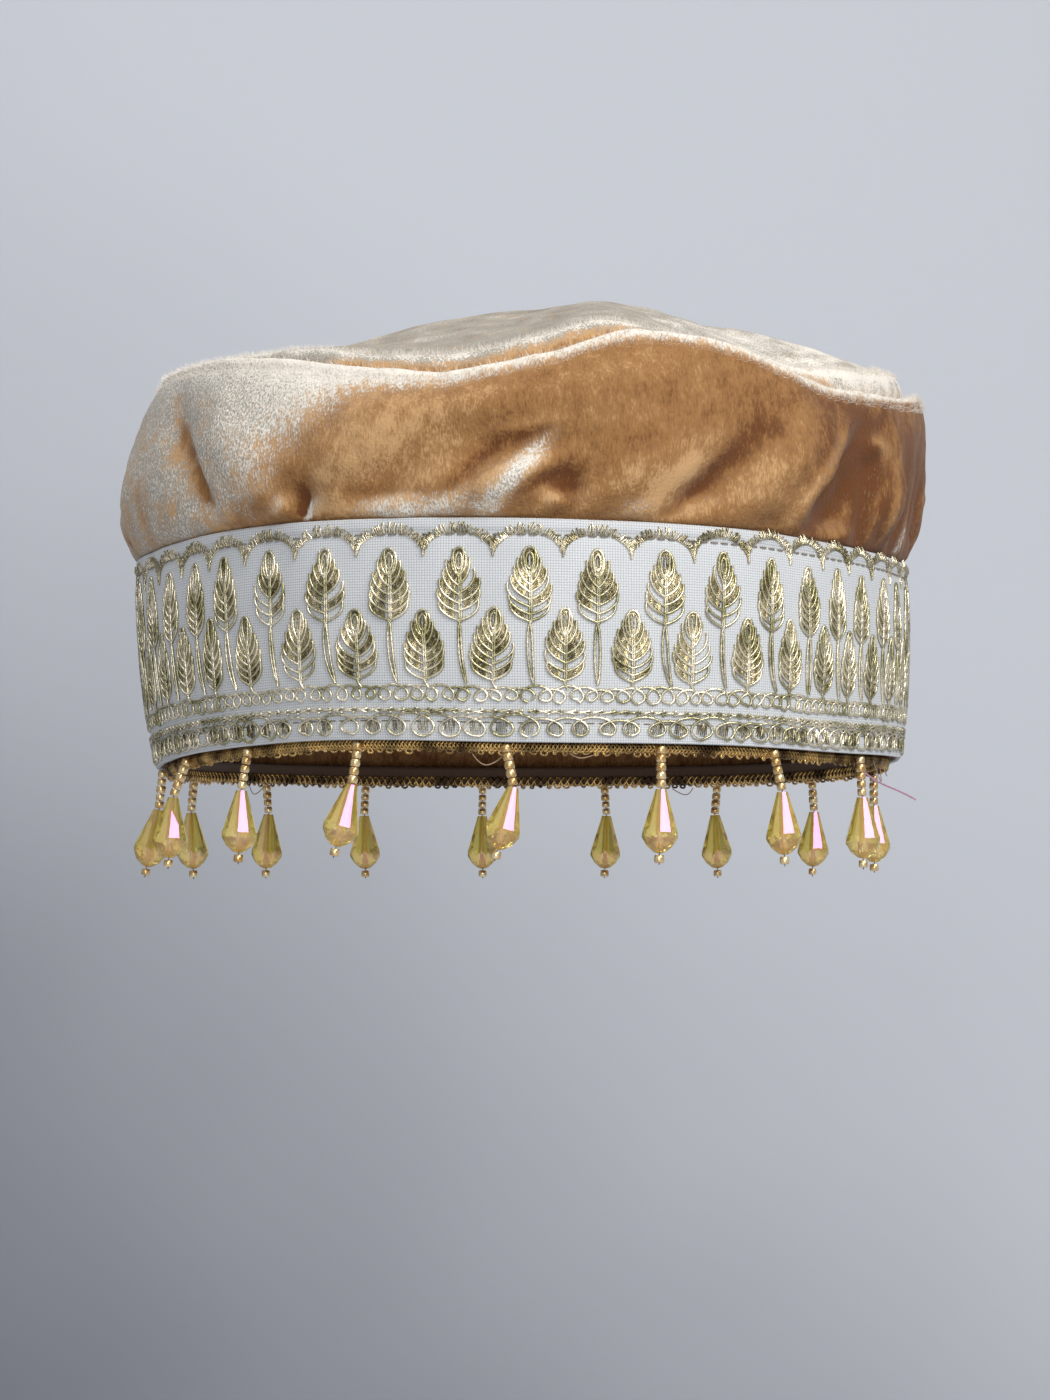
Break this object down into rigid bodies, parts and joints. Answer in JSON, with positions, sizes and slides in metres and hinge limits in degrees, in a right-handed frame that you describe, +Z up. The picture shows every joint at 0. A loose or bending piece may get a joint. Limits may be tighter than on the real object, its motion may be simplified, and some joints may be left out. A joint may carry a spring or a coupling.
{
  "type": "embroidered velvet cap",
  "caption": "Soft round velvet cap with a domed crown, a woven band embroidered with leaf sprigs, a braided rim and a fringe of faceted teardrop beads.",
  "frame": {"origin": "centre of the rim, in the plane of the band's lower edge, where the head goes in", "axes": "+Z up through the crown, the front of the cap faces -Y, +X to the right as the front is seen"},
  "size_m": [0.1955, 0.1971, 0.1376],
  "materials": {
    "velvet": "crushed pile",
    "ribbon": "plain weave",
    "gold_braid": "metallic thread",
    "gold_seed": "gold lined",
    "drop_glass": "faceted, rainbow coated"
  },
  "bodies": {
    "root": {"crown_side": "velvet", "crown_top": "velvet", "band": "ribbon", "braid": "gold_braid", "string_01": "gold_seed", "string_02": "gold_seed", "string_03": "gold_seed", "string_04": "gold_seed", "string_05": "gold_seed", "string_06": "gold_seed", "string_07": "gold_seed", "string_08": "gold_seed", "string_09": "gold_seed", "string_10": "gold_seed", "string_11": "gold_seed", "string_12": "gold_seed", "string_13": "gold_seed", "string_14": "gold_seed", "string_15": "gold_seed", "string_16": "gold_seed", "bead_01": "drop_glass", "bead_02": "drop_glass", "bead_03": "drop_glass", "bead_04": "drop_glass", "bead_05": "drop_glass", "bead_06": "drop_glass", "bead_07": "drop_glass", "bead_08": "drop_glass", "bead_09": "drop_glass", "bead_10": "drop_glass", "bead_11": "drop_glass", "bead_12": "drop_glass", "bead_13": "drop_glass", "bead_14": "drop_glass", "bead_15": "drop_glass", "bead_16": "drop_glass"}
  },
  "joints": []
}
